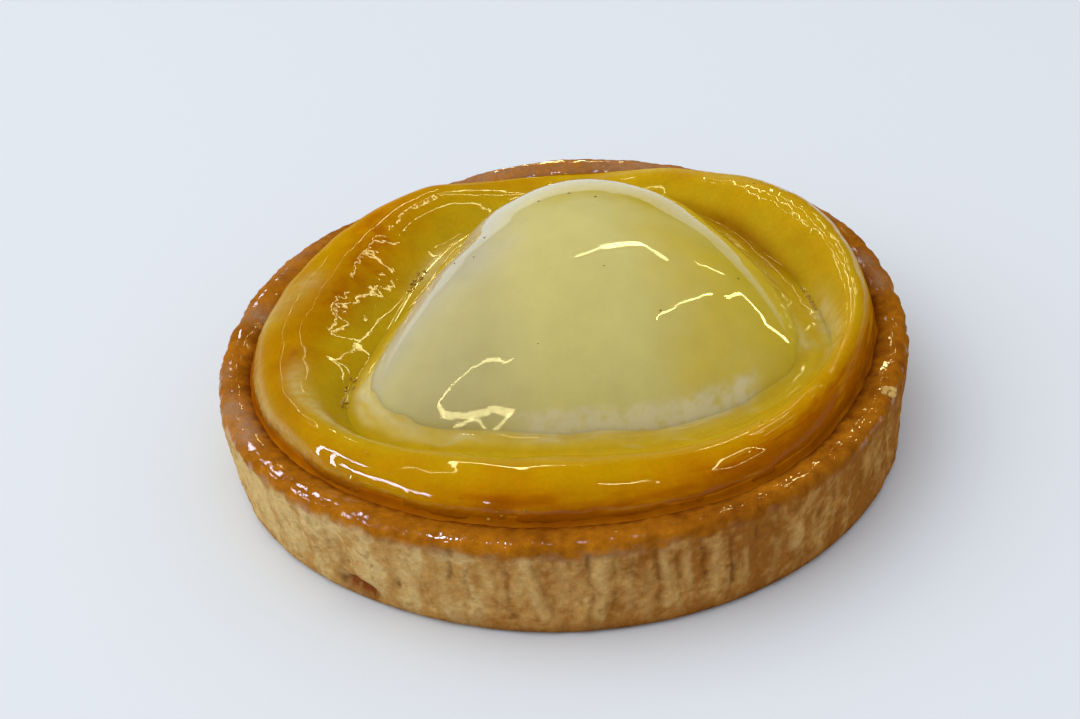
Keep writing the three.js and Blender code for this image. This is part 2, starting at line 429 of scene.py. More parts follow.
# Places on the rim without gloss, where a pale painted sheen is also laid into the colour: degrees, share
# across from the outer edge, half widths in both, strength
DULL_AND_PAINTED_SHEEN_SPOTS = (
    (195, 0.3, 3.5, 0.4, 0.9), (201, 0.45, 4.5, 0.3, 0.8), (205, 0.3, 3, 0.25, 0.6), (166, 0.5, 3, 0.7, 0.8),
    (13, 0.6, 3, 0.3, 0.7), (6, 0.45, 3, 0.25, 0.7), (104, 0.4, 12, 0.5, 0.8), (71, 0.5, 14, 0.5, 0.7),
    (88, 0.9, 8, 0.3, 0.4), (35, 0.3, 8, 0.3, 0.35), (148, 0.25, 8, 0.25, 0.4), (184, 0.2, 4, 0.2, 0.4))

# Marks on the wall: degrees and height at both ends, half width in millimetres, strength
PALE_RIDGES = (
    (255.3, 11, 255.6, 7, 0.7, 0.6), (261.4, 13.6, 263.4, 3.4, 0.6, 1.0), (272.5, 13.6, 271.6, 3.2, 0.8, 1.0),
    (281.0, 13.0, 281.8, 3.6, 0.6, 0.9), (284.5, 11, 285.2, 5, 0.5, 0.7), (289.0, 12, 288.6, 4, 0.6, 0.6),
    (293.7, 9, 294.1, 4.6, 0.5, 0.7), (302.6, 9, 302.6, 6.2, 0.9, 1.2), (242.0, 11, 243.5, 4, 1.4, 0.6),
    (234.5, 6.0, 237.0, 4.4, 1.5, 0.8), (227.0, 12, 229.0, 7, 1.3, 0.5), (248.0, 9, 248.5, 3, 0.9, 0.5),
    (266.5, 12, 267.0, 6, 0.8, 0.5), (276.0, 9, 276.2, 4, 0.6, 0.6), (216.0, 12, 218.0, 5, 1.6, 0.6),
    (207.0, 12, 209.0, 4, 1.6, 0.5))
# The dark cracks are browned, with painted shade in them as well
DARK_CRACKS = (
    (241.0, 6.6, 241.2, 5.4, 0.5, 1.0), (250.2, 14, 250.0, 9, 0.35, 1.0), (253.0, 12, 252.6, 6, 0.3, 0.6),
    (258.4, 13, 258.8, 3, 0.4, 0.7), (262.6, 12, 264.8, 4, 0.25, 0.6), (270.9, 13.6, 270.2, 3, 0.35, 1.0),
    (274.0, 12, 274.0, 5, 0.3, 0.6), (276.8, 11.4, 276.8, 9.4, 0.45, 0.8), (279.9, 13, 280.6, 4, 0.3, 0.8),
    (283.0, 12, 283.4, 4, 0.3, 0.6), (287.0, 13, 287.2, 6, 0.3, 0.8), (291.5, 12, 291.4, 4, 0.35, 0.8),
    (295.6, 12, 296.0, 7, 0.3, 0.6), (232.4, 3.0, 235.6, 2.2, 0.9, 1.4), (229.6, 2.6, 232.0, 2.8, 0.7, 1.0))


def strokes(angle, height, marks):
    """Soft mask of upright strokes on the wall, about 1 on a stroke of strength 1."""
    total = np.zeros(np.broadcast(angle, height).shape)
    for start, low, end, high, width, strength in marks:
        x = np.radians(degrees_apart(angle, start)) * RIM_RADIUS
        run = np.array([np.radians(end - start) * RIM_RADIUS, high - low])
        share = np.clip((x * run[0] + (height - low) * run[1]) / (run @ run), 0, 1)
        away = np.hypot(x - share * run[0], height - low - share * run[1])
        total = np.maximum(total, strength * np.exp(-(away / width) ** 2))
    return total


def loose_marks(count, seed, width):
    """Random upright strokes round the whole wall."""
    draw = np.random.RandomState(seed)
    marks = []
    for _ in range(count):
        at, low, tall = draw.uniform(0, 360), draw.uniform(1.5, 9), draw.uniform(2, 7)
        end, high = at + draw.normal(0, 0.7), min(low + tall, 13.8)
        marks.append((at, low, end, high, width * draw.uniform(0.6, 1.5), draw.uniform(0.25, 0.8)))
    return marks


def make_crust():
    angle = np.arange(CRUST_TURNS) / CRUST_TURNS * TURN
    rim, top, foot, lip = rim_radius(angle), rim_height(angle), foot_radius(angle), lip_radius(angle)
    bore = rim - CASE_WALL

    def knot(radius, height):
        return np.stack(np.broadcast_arrays(radius, height * np.ones_like(angle)), -1)

    def wall(height):
        return knot(foot + (rim - foot) * height / top, height)

    knots = [
        knot(foot * 0.3, 0), knot(foot - 0.9, 0), knot(foot - 0.25, 0.35), wall(1.4), knot(rim, top - 1.3),
        knot(rim - 0.3, top - 0.45), knot(rim - 0.8, top - 0.15), knot(rim - 2, top),
        knot((rim + lip) / 2 - 0.6, top - 0.25), knot(lip + 0.3, top - 0.9), knot(lip - 0.9, top - 1.9),
        knot(bore - 0.5, CASE_FLOOR + CORNER), knot(bore - 0.5 - CORNER, CASE_FLOOR), knot(4.0, CASE_FLOOR)]
    counts = (4, 2, 3, 34, 3, 2, 3, 4, 4, 3, 3, 2, 3)
    path = soften(densify(knots, counts), 2)
    path[:, :5, 1] = 0  # the underside stays flat
    ring = np.arange(path.shape[1])
    height = path[..., 1]
    turn = angle[:, None]
    grid = polar(CASE_CENTRE, path[..., 0], turn, height)
    normal = outward(grid)
    # Rings at which the wall starts and ends and the rim ends
    wall_start, wall_end, rim_end = 6, 43, 61
    on_wall = ease(wall_start - 1, wall_start + 3, ring) * ease(wall_end + 2, wall_end - 2, ring)
    on_rim = ease(wall_end - 3, wall_end + 1, ring) * ease(rim_end + 3, rim_end, ring)

    upright = grid * (1, 1, 0.3)
    bent = turn + (0.5 * lumps(grid, 3.4, 11) + 0.25 * lumps(grid, 1.5, 12)) / RIM_RADIUS
    loose_ridges, loose_cracks = loose_marks(80, 3, 0.6), loose_marks(70, 4, 0.45)
    pale = np.maximum(strokes(bent, height, PALE_RIDGES), 0.6 * strokes(bent, height, loose_ridges))
    dark = np.maximum(strokes(bent, height, DARK_CRACKS), 0.5 * strokes(bent, height, loose_cracks))
    pits = ease(0.42, 0.62, lumps(grid, 1.1, 15)) * ease(-0.2, 0.4, lumps(grid, 6, 16))
    low = rough(grid, 6, 20, 3)
    fine = rough(grid, 1.0, 24, 3)
    shift = on_wall * (0.18 * low + 0.1 * lumps(upright, 2.4, 13) + 0.09 * fine - wall_relief(bent, height)
                       + 0.26 * pale - 0.26 * dark - 0.14 * pits)
    edge = np.exp(-((ring - wall_end - 1) / 3.5) ** 2)
    on_top = 0.16 * lumps(grid, 5, 30) + 0.08 * lumps(grid, 1.8, 31) + 0.035 * lumps(grid, 0.9, 34)
    shift = shift + on_rim * on_top
    shift = shift + edge * (0.12 * fine + 0.22 * lumps(grid, 2.6, 32) + 0.12 * lumps(grid, 1.3, 33))
    grid = grid + normal * shift[..., None]
    grid[..., 2] = np.maximum(grid[..., 2], 0)

    bake = around(WALL_BAKE, angle)[:, None]
    blotch = rough(grid, 9, 40, 3)
    mottle = rough(grid, 2.2, 46, 3)
    streak = lumps(upright, 3.2, 41) + 0.7 * lumps(upright, 1.4, 42)
    grit = rough(grid, 1.1, 49, 2, 0.8)
    brown = np.clip(bake + (0.34 - 0.2 * bake) * blotch + 0.3 * streak + 0.14 * mottle + 0.24 * grit, 0, 1)
    colour = mix(mix(STRAW, TAN, ease(0, 0.5, brown)), BROWN, ease(0.4, 1.1, brown))
    scorch = ease(3.4, 0.2, height + 1.3 * blotch + 1.2 * mottle)
    colour = mix(colour, BROWN, 0.8 * scorch * (0.45 + 0.55 * bake))
    colour = mix(colour, BURNT, 0.55 * ease(1.6, 0.1, height + 0.9 * mottle) * bake)
    colour = mix(colour, mix(STRAW, TAN, 0.75 * bake), np.clip(0.75 * pale * (1 + 0.5 * mottle), 0, 0.85))
    # Darker in the cracks and dents: browning and painted shade in the recesses
    colour = mix(colour, BURNT, np.clip(0.46 * dark * (1 + mottle), 0, 0.8))
    colour = mix(colour, BROWN * 0.8, 0.5 * pits)
    from_notch = degrees_apart(turn, np.degrees(NOTCH_ANGLE))
    burn = np.exp(-(from_notch / 3.4) ** 4 - ((height - NOTCH_HEIGHT) / 1.5) ** 2)
    colour = mix(colour, SINGED, np.clip(0.9 * burn * (1 + 0.6 * grit), 0, 0.9))
    below_rim = rim_height(turn) - height + 0.9 * mottle + 0.5 * blotch
    colour = mix(colour, VIOLET, ease(2.6, 0.7, below_rim) * 0.75 * (0.35 + 0.65 * bake))
    inward = rim[:, None] - np.hypot(grid[..., 0] - CASE_CENTRE[0], grid[..., 1] - CASE_CENTRE[1])
    across = inward / around(RIM_BAND, angle)[:, None]
    rim_mottle = rough(grid, 1.6, 47, 3)
    rim_shade = 0.42 + 0.45 * rough(grid, 7, 44, 3) + 0.35 * rim_mottle + 0.5 * (bake - 0.5)
    rim_tone = mix(RIM_AMBER, RIM_DARK, np.clip(rim_shade, 0, 1))
    # Darker towards the crease against the filling: painted crease shade
    rim_tone = mix(rim_tone, RIM_CREASE_SHADE, ease(0.68, 1.0, across + 0.1 * rim_mottle) * 0.95)
    dull_and_sheen = np.clip(blobs(turn, across, DULL_AND_PAINTED_SHEEN_SPOTS) * (1 + 0.7 * rim_mottle), 0, 1)
    # Pale patches on the rim: painted sheen laid into the colour, with less gloss there as well
    rim_tone = mix(rim_tone, RIM_PAINTED_SHEEN, 0.75 * dull_and_sheen)
    drips = ring + 2.2 * lumps(grid, 4, 45) + 2.2 * lumps(grid, 1.8, 48)
    colour = mix(colour, rim_tone, ease(wall_end - 3, wall_end + 1, drips))
    low_gloss = 4 * sector(turn, 225, 50, 80)
    wet = ease(wall_end - 1 - low_gloss, wall_end + 2 - low_gloss, drips) * (1 - 0.9 * dull_and_sheen)
    wet = wet * (0.06 + 0.94 * ease(-0.04, 0.14, rough(grid, 2.8, 35, 2)))
    wet = wet * (1 - 0.7 * ease(0.3, 0.45, across) * sector(turn, 172, 30, 55))
    wet = wet * (1 - 0.75 * sector(turn, 8, 15, 35))
    return skin("crust", grid, (0, 0, 0), (0, 0, CASE_FLOOR), {"tint": colour, "wet": wet},
                material=pastry_material(), slot="pastry", replaces=("pastry_case",))


# ---------------------------------------- almond filling

FILLING_TURNS = 960
GOLD, AMBER, OLIVE = srgb(192, 148, 3), srgb(178, 106, 1), srgb(196, 164, 22)
TOASTED, CREAM, ORANGE = srgb(153, 83, 1), srgb(212, 190, 122), srgb(184, 118, 1)
# Darker amber used as painted shade
PAINTED_SHADE = srgb(158, 108, 4)

# Places on the filling: degrees, part, half width in degrees, half width in part, strength
TOASTED_SPOTS = (
    (151, 0.42, 15, 0.22, 0.6), (186, 0.6, 12, 0.2, 0.62), (138, 0.6, 9, 0.22, 0.45),
    (168, 0.42, 8, 0.18, 0.45), (205, 0.7, 8, 0.12, 0.3), (122, 0.75, 12, 0.2, 0.4),
    (318, 0.95, 14, 0.3, 0.9), (300, 0.95, 14, 0.2, 0.7), (335, 0.95, 12, 0.2, 0.62),
    (350, 0.95, 12, 0.14, 0.6), (20, 0.95, 20, 0.16, 0.7), (42, 0.9, 14, 0.14, 0.5),
    (275, 0.98, 26, 0.14, 0.6), (255, 0.95, 16, 0.1, 0.4), (60, 0.6, 7, 0.15, 0.25),
    (96, 0.6, 10, 0.3, 0.25), (112, 0.86, 8, 0.1, 0.5))
# Painted shade on the slope beside the pear at the back right, where shade falls in the valley
PAINTED_SHADE_SPOTS = (
    (48, 0.04, 12, 0.12, 0.9), (32, 0.0, 12, 0.12, 0.9), (18, -0.02, 8, 0.1, 0.7), (64, 0.1, 8, 0.1, 0.5))
CREAM_SPOTS = (
    (170, 0.88, 6, 0.16, 0.3), (190, 1.0, 14, 0.1, 0.35), (206, 1.0, 12, 0.08, 0.4),
    (163, 0.72, 4, 0.12, 0.3), (349, 0.18, 7, 0.14, 0.6), (340, 0.34, 7, 0.12, 0.35),
    (358, 0.12, 6, 0.1, 0.5), (200, 0.55, 7, 0.1, 0.6), (213, 0.42, 9, 0.09, 0.7),
    (232, 0.3, 10, 0.07, 0.35), (136, 0.0, 11, 0.06, 0.6), (70, 0.7, 12, 0.1, 0.25), (50, 0.62, 9, 0.1, 0.2))
FRONT_SPOTS = ((222, 0.5, 26, 0.25, 0.7),)
PINCHED_SPOTS = ((347, 0.36, 10, 0.25, 1.0),)
MATT_SPOTS = (
    (150, 0.8, 36, 0.2, 1.0), (190, 0.74, 16, 0.2, 1.0), (90, 0.78, 34, 0.26, 1.0),
    (322, 0.6, 16, 0.16, 0.6), (168, 0.58, 30, 0.14, 0.8), (193, 0.52, 12, 0.12, 1.0),
    (211, 0.5, 9, 0.13, 1.0), (184, 0.2, 8, 0.12, 0.6), (62, 0.75, 12, 0.24, 0.8),
    (0, 0.97, 50, 0.1, 0.9), (336, 0.86, 30, 0.1, 0.8))


def filling_fibres(turn, part):
    """Noise drawn out from the pear to the rim, with about 42 fibres to a radian."""
    return lumps(np.stack(np.broadcast_arrays(turn * 42, 5 * part, 0 * part), -1), 1.0, 57)


def filling_colour(points, turn, part):
    """Colour of the filling at points on its top, with painted shade on its left side, at its foot and beside
    the pear at the back right.
    """
    cloud = rough(points, 9, 60, 4)
    level = ease(0.72, 0.88, part)[..., None] * np.array([-0.6, -0.6, 1.5])
    streak = rough(points * (np.array([1, 1, 0.5]) + level), 2.4, 64, 3)
    toasted = blobs(turn, part, TOASTED_SPOTS) * (1 + 0.5 * streak) + 0.14 * cloud
    cream = blobs(turn, part, CREAM_SPOTS) * (1 + 0.5 * streak + 0.6 * filling_fibres(turn, part))
    inner = ease(0.42, 0.1, part + 0.15 * cloud)
    back = sector(turn, 40, 40, 95)
    front = blobs(turn, part, FRONT_SPOTS)
    colour = mix(GOLD, OLIVE, np.clip(0.75 * inner + 0.55 * back + front, 0, 1))
    ruddy = np.clip(0.3 + 0.4 * cloud, 0, 1) * ease(0.35, 0.75, part) * (1 - 0.7 * back) * (1 - front)
    colour = mix(colour, ORANGE, ruddy)
    colour = mix(colour, AMBER, np.clip(toasted, 0, 1))
    colour = mix(colour, TOASTED, np.clip(1.3 * (toasted - 0.55), 0, 0.85))
    # Painted shade in the valley beside the pear at the back right
    colour = mix(colour, PAINTED_SHADE, np.clip(blobs(turn, part, PAINTED_SHADE_SPOTS), 0, 0.9))
    colour = mix(colour, CREAM, np.clip(cream, 0, 0.8))
    # Darker band at the foot against the rim: toasted browning and painted crease shade
    colour = mix(colour, TOASTED, ease(0.97, 1.0, part + 0.01 * streak) * 0.85)
    # Darker on the left side: painted shade
    return colour * (1 - 0.16 * sector(turn, 186, 15, 50))[..., None]


def make_filling():
    turn = (np.arange(FILLING_TURNS) / FILLING_TURNS * TURN)[:, None]
    # Parts of the rings, closer together near the rim
    shares = np.concatenate([1 - np.linspace(0, 1, 26) ** 1.7 * 0.3, np.linspace(0.7, 0, 46)[1:]])
    top = filling_point(turn, shares[None])
    corner = rim_radius(turn) - CASE_WALL - GAP - 0.6
    recess = pear_radius(turn) + GAP
    recess_floor = RIM_HEIGHT + PEAR_CREASE - PEAR_SUNK - GAP

    def ring(centre, radius, height):
        return polar(centre, radius, turn, height * np.ones_like(turn))

    low = CASE_FLOOR + GAP
    below = [
        ring(CASE_CENTRE, 8, low), ring(CASE_CENTRE, corner - CORNER, low),
        ring(CASE_CENTRE, corner, low + CORNER),
        ring(CASE_CENTRE, lip_radius(turn) - 1.3, rim_height(turn) - 2)]
    inside = [
        ring(PEAR_CENTRE, recess, RIM_HEIGHT + PEAR_CREASE - GAP), ring(PEAR_CENTRE, recess, recess_floor),
        ring(PEAR_CENTRE, 4, recess_floor)]
    grid = np.concatenate(below + [top] + inside, 1)
    part = np.concatenate([np.ones(len(below)), shares, np.zeros(len(inside))])[None] * np.ones_like(turn)
    shown = np.zeros(grid.shape[1])
    shown[len(below):-len(inside)] = 1
    shown = shown * ease(-0.02, 0.1, part)
    normal = outward(grid)

    left = sector(turn, 195, 30, 70)
    flank = ease(0.94, 1.0, part)
    rippled = sector(turn, 148, 16, 42)
    curled = sector(turn, 15, 18, 34) * ease(0.3, 0.5, part)
    calm = 0.35 + 0.65 * ease(0.03, 0.2, part)
    shift = 0.32 * lumps(grid, 13, 50) + 0.16 * lumps(grid, 6, 51)
    shift = shift + (0.018 + 0.006 * rippled + 0.024 * curled) * lumps(grid, 3.2, 52)
    shift = shift + (0.004 + 0.055 * curled) * lumps(grid, 1.7, 53) + 0.013 * rippled * lumps(grid, 1.1, 55)
    shift = shift + flank * (0.05 + 0.1 * left) * rough(grid, 1.3, 54, 3)
    shift = shift + 0.12 * blobs(turn, part, PINCHED_SPOTS) * filling_fibres(turn, part)
    grid = grid + normal * (shift * shown * calm)[..., None]

    values = {"tint": filling_colour(grid, turn, part),
              "wet": 1 - np.clip(blobs(turn, part, MATT_SPOTS), 0, 0.9)}
    return skin("baked_filling", grid, (*CASE_CENTRE, low), (*PEAR_CENTRE, recess_floor), values,
                material=filling_material(), slot="filling", replaces=("almond_filling",))


# ---------------------------------------- pear

PEAR_TURNS = 640
# The pale colour here is a painted reflection, used on the pear's left flank
FLESH, FLESH_DEEP, PEAR_PAINTED_REFLECTION = srgb(202, 194, 124), srgb(200, 174, 26), srgb(196, 190, 158)
FLESH_FUZZ = srgb(212, 206, 170)
# Place on the pear with less gloss: degrees, part, half widths in both, strength
PEAR_MATT_SPOTS = ((203, 0.98, 14, 0.08, 1.0),)


def pear_colour(points, part):
    """Colour of the pear at points on its dome, with a painted reflection on its left flank and painted shade
    towards the left.
    """
    x, y = points[..., 0] - PEAR_CENTRE[0], points[..., 1] - PEAR_CENTRE[1]
    cloud = rough(points, 12, 75, 3)
    right = ease(-4, 22, x + 0.3 * np.minimum(y, 12) + 6 * cloud)
    colour = mix(FLESH, FLESH_DEEP, 0.9 * right * np.ones_like(part))
    patch = ease(0, 9, y + 5 * cloud) * ease(24, 11, y + 5 * cloud) * ease(-10, 0, x)
    colour = mix(colour, FLESH_DEEP, 0.5 * patch)
    # Pale grey-white veil on the left flank: painted reflection of bright surroundings in the glaze
    painted_reflection = ease(-6, -15, x + 2 * cloud) * ease(-10, -1, y - 0.33 * x + 2 * cloud)
    painted_reflection = painted_reflection * (1 - 0.6 * ease(12, 24, y))
    colour = mix(colour, PEAR_PAINTED_REFLECTION, 0.9 * painted_reflection)
    # Paler still towards the left: more painted reflection
    colour = mix(colour, PEAR_PAINTED_REFLECTION, 0.35 * ease(-2, -20, x) * (1 - painted_reflection))
    colour = mix(colour, FLESH_DEEP, 0.5 * ease(0.95, 1.0, part))
    fuzz = ease(0.9, 0.935, part + 0.012 * rough(points, 2.5, 77, 3)) * ease(1.0, 0.975, part)
    fuzz = fuzz * ease(-14, -5, x) * ease(23, 19, x) * ease(-10, -16, y)
    fuzz = np.clip(fuzz * (0.9 + 1.0 * rough(points, 1.6, 78, 3)), 0, 1)
    colour = mix(colour, FLESH_FUZZ, 0.75 * fuzz)
    # Darker towards the left: painted shade
    return colour * (1 + 0.03 * rough(points, 3, 79, 3) - 0.12 * ease(-6, -16, x))[..., None]


def make_pear():
    turn = (np.arange(PEAR_TURNS) / PEAR_TURNS * TURN)[:, None]
    # Parts of the rings, closer together near the crease
    shares = np.concatenate([1 - np.linspace(0, 1, 30) ** 1.4 * 0.14, np.linspace(0.86, 0.02, 66)[1:]])
    dome = pear_point(turn, shares[None] * np.ones_like(turn))
    cut = RIM_HEIGHT + PEAR_CREASE - PEAR_SUNK
    edge = pear_radius(turn)

    def ring(radius, height):
        return polar(PEAR_CENTRE, radius, turn, height * np.ones_like(turn))

    sides = [ring(edge * 0.3, cut), ring(edge - PEAR_BEVEL, cut), ring(edge, cut + PEAR_BEVEL),
             ring(edge, cut + 3), ring(edge, cut + 5)]
    grid = np.concatenate(sides + [dome], 1)
    part = np.concatenate([np.ones(len(sides)), shares])[None] * np.ones_like(turn)
    shown = np.concatenate([np.zeros(len(sides)), np.ones(len(shares))])[None]
    normal = outward(grid)
    shift = 0.12 * lumps(grid, 17, 70) + 0.02 * lumps(grid, 7, 71) + 0.006 * lumps(grid, 3.5, 72)
    grid = grid + normal * (shift * shown)[..., None]

    top = pear_point(np.zeros(1), np.zeros(1))[0]
    matt = blobs(turn, part, PEAR_MATT_SPOTS)
    values = {"tint": pear_colour(grid, part), "wet": 1 - 0.6 * np.clip(matt, 0, 1)}
    return skin("pear", grid, (*PEAR_CENTRE, cut), top, values,
                material=pear_material(), slot="pear", replaces=("pear_half",))


# ---------------------------------------- glaze round the pear

SKIRT_TURNS = 900
# How deep the edge of the glaze lies in what is under it, where it shows and where it ends
SUNK_EDGE, BURIED_EDGE = 0.06, 0.4
# Each one value every 30 degrees: how far the glaze reaches from the pear, and how high it climbs it
SKIRT_WIDTH = (4.0, 4.2, 3.6, 2.6, 3.2, 4.4, 2.8, 3.4, 3.2, 3.0, 3.0, 3.2)
SKIRT_CLIMB = (0.9, 0.89, 0.93, 0.96, 0.93, 0.88, 0.88, 0.945, 0.965, 0.968, 0.965, 0.95)
GLAZE, GLAZE_DEEP, GLAZE_MILKY = srgb(196, 166, 36), srgb(184, 148, 12), srgb(204, 194, 140)
# Milky places in it: degrees, share from its lip to its top, half widths in both, strength
MILKY_SPOTS = (
    (203, 0.5, 10, 0.5, 0.9), (190, 0.75, 9, 0.2, 0.9), (172, 0.6, 12, 0.14, 0.6), (150, 0.5, 16, 0.18, 0.5),
    (136, 0.74, 11, 0.2, 0.8), (222, 0.6, 12, 0.25, 0.5), (250, 0.7, 25, 0.2, 0.35), (290, 0.7, 20, 0.2, 0.3),
    (342, 0.8, 8, 0.2, 0.4))


def ring_body(name, loop, values, **more):
    """Closed ring whose cross-sections are the loops of points (turns, steps)."""
    turns, steps = loop.shape[:2]
    index = np.arange(turns * steps).reshape(turns, steps)
    after, right = np.roll(index, -1, 0), np.roll(index, -1, 1)
    faces = np.stack([index, after, np.roll(after, -1, 1), right], -1).reshape(-1, 4).tolist()
    flat = {key: data.reshape((turns * steps,) + data.shape[2:]) for key, data in values.items()}
    return new_object(name, loop.reshape(-1, 3), faces, flat, **more)


def fillet(low, bend, high, count):
    """Curves from low to high that lean towards bend."""
    steps = np.linspace(0, 1, count)[None, :, None]
    return (1 - steps) ** 2 * low + 2 * steps * (1 - steps) * bend + steps ** 2 * high


def make_bead():
    """Thin line of glaze in the crease between the filling and the rim, tinted dark as painted crease shade.
    """
    turn = (np.arange(CRUST_TURNS) / CRUST_TURNS * TURN)[:, None]
    uneven = lumps(polar(CASE_CENTRE, lip_radius(turn), turn, 0), 7, 85)
    rim_side = polar(CASE_CENTRE, lip_radius(turn) + 0.45 + 0.3 * uneven, turn, rim_height(turn) - 0.95)
    high = filling_point(turn, 0.992 - 0.006 * uneven)
    buried = mix(high, filling_point(turn, 0.93), 0.06) - (0, 0, 0.25)
    buried[..., :2] += (CASE_CENTRE - buried[..., :2]) * 0.012
    crease = polar(CASE_CENTRE, lip_radius(turn) + 0.05, turn, rim_height(turn) - 0.95)
    share = np.linspace(0, 1, 9)
    over = fillet(rim_side, crease, high, len(share))
    over = over + outward(over) * (0.06 * lumps(over, 3, 86) * np.sin(np.pi * share))[..., None]
    loop = np.concatenate([crease - (0, 0, 0.9), rim_side - (0, 0, 0.5), over, buried], 1)
    # Dark tint of the bead: painted shade in the crease
    tint = mix(TOASTED, AMBER, np.clip(0.4 + 0.6 * rough(loop, 4, 87, 3), 0, 1))
    return ring_body("glaze_bead", loop, {"tint": tint}, slot="filling",
                     material=glaze_material("bead", gloss=0.3, blur=0.2, soft=0.0))


def make_skirt():
    """Glaze that has run down from the pear on to the filling and rounds out the crease between them."""
    turn = (np.arange(SKIRT_TURNS) / SKIRT_TURNS * TURN)[:, None]
    climb = around(SKIRT_CLIMB, turn) + 0.012 * lumps(polar(PEAR_CENTRE, 30, turn, 0), 6, 83)
    near_top = pear_point(turn, climb + np.linspace(0.01, -0.02, 4)[None])
    high, beside, above = (near_top[:, k:k + 1] - sunk * outward(near_top)[:, 1:2]
                           for k, sunk in ((1, SUNK_EDGE), (2, 1.5 * SUNK_EDGE), (3, BURIED_EDGE)))
    reach = pear_radius(turn) + around(SKIRT_WIDTH, turn)
    valley = pear_radius(turn) + GAP + around(VALLEY_WIDTH, turn)
    whole = np.linalg.norm(filling_point(turn, 1.0)[..., :2] - filling_point(turn, 0.0)[..., :2], axis=-1)
    part = np.clip((reach - valley) / whole, 0, 1)
    lip = polar(PEAR_CENTRE, reach, turn, filling_height(turn, part) - SUNK_EDGE)

    def outside(distance, sunk):
        """Ring past the lip, sunk into the filling."""
        beyond = np.clip((reach + distance - valley) / whole, 0, 1)
        return polar(PEAR_CENTRE, reach + distance, turn, filling_height(turn, beyond) - sunk)

    near, outer = outside(0.25, 1.5 * SUNK_EDGE), outside(0.8, BURIED_EDGE)
    bend = polar(PEAR_CENTRE, pear_radius(turn) + 0.4, turn, RIM_HEIGHT + VALLEY_RISE + 0.25)
    share = np.linspace(0, 1, 28)[None]
    over = fillet(lip, bend, high, share.size)
    wavy = 0.16 * lumps(over, 5, 80) + 0.06 * lumps(over, 2.2, 81)
    over = over + outward(over) * (wavy * np.sin(np.pi * share))[..., None]
    root = polar(PEAR_CENTRE, pear_radius(turn) - 0.4, turn, RIM_HEIGHT + PEAR_CREASE - 1.5)
    loop = np.concatenate([root, outer - (0, 0, 0.3), outer, near, over, beside, above], 1)
    swirl = np.stack(np.broadcast_arrays(turn * 6, 4 * share + 1.3 * lumps(over, 5, 82), 0 * share), -1)
    wisps = lumps(swirl, 1.0, 84)
    tint = mix(GLAZE, GLAZE_DEEP, ease(0.5, 0.1, share) * np.ones_like(turn))
    milky = blobs(turn, share, MILKY_SPOTS) * (0.8 + 0.8 * wisps) + 0.2 * ease(0.2, 0.6, wisps)
    tint = mix(tint, GLAZE_MILKY, np.clip(milky, 0, 0.9))
    patchy = 0.12 * lumps(over, 3, 88)
    tint = mix(filling_colour(over, turn, part * np.ones_like(share)), tint, ease(0.05, 0.4, share + patchy))
    tint = mix(tint, pear_colour(over, climb * np.ones_like(share)), ease(0.7, 0.97, share + 0.5 * patchy))
    tint = np.concatenate([np.repeat(tint[:, :1], 4, 1), tint, np.repeat(tint[:, -1:], 2, 1)], 1)
    return ring_body("glaze_skirt", loop, {"tint": tint}, material=glaze_material("glaze"), slot="filling")


# ---------------------------------------- crumbs and specks

def lump_cloud(name, places, seed, material, slot):
    """One mesh of small uneven lumps; a place is (centre, radius, flatness, colour)."""
    draw = np.random.RandomState(seed)
    rows, columns = 7, 10
    tall = np.linspace(0, np.pi, rows)[1:-1]
    wide = np.arange(columns) / columns * TURN
    ball = np.stack([np.outer(np.sin(tall), np.cos(wide)), np.outer(np.sin(tall), np.sin(wide)),
                     np.outer(np.cos(tall), np.ones(columns))], -1).reshape(-1, 3)
    ball = np.concatenate([ball, [(0, 0, 1), (0, 0, -1)]])
    side = [(r * columns + c, (r + 1) * columns + c, (r + 1) * columns + (c + 1) % columns,
             r * columns + (c + 1) % columns) for r in range(rows - 3) for c in range(columns)]
    last = (rows - 3) * columns
    caps = [(len(ball) - 2, c, (c + 1) % columns) for c in range(columns)]
    caps += [(len(ball) - 1, last + (c + 1) % columns, last + c) for c in range(columns)]
    points, faces, colours = [], [], []
    for centre, radius, flat, colour in places:
        spin = draw.uniform(0, TURN)
        turn = np.array([[np.cos(spin), -np.sin(spin), 0], [np.sin(spin), np.cos(spin), 0], [0, 0, 1]])
        body = ball * (radius * draw.uniform(0.7, 1.3, 3)) * (1, 1, flat)
        body = body * (1 + 0.28 * lumps(ball * 3 + draw.uniform(0, 99, 3), 2.2, 90)[:, None])
        faces += [tuple(i + len(points) * len(ball) for i in f) for f in side + caps]
        points.append(body @ turn.T + centre)
        colours.append(np.tile(colour, (len(ball), 1)))
    return new_object(name, np.concatenate(points), faces, {"tint": np.concatenate(colours)},
                      material=material, slot=slot)


# Crumbs in the creases: first and last degrees, first and last part, how many, radius
CRUMB_RUNS = (
    (139, 150, -0.02, 0.05, 20, 0.2), (192, 203, 0.0, 0.08, 18, 0.22), (359, 371, -0.05, 0.0, 26, 0.25),
    (246, 262, 0.97, 1.0, 5, 0.2), (60, 130, 0.0, 0.06, 5, 0.18), (20, 340, 0.2, 0.9, 12, 0.12))
CRUMB_DARK, CRUMB_LIGHT, CRUMB_PALE = srgb(142, 100, 20), srgb(206, 168, 70), srgb(206, 170, 96)
# Crumbs on the rim: degrees, how many, radius
RIM_CRUMBS = (331, 5, 0.55)


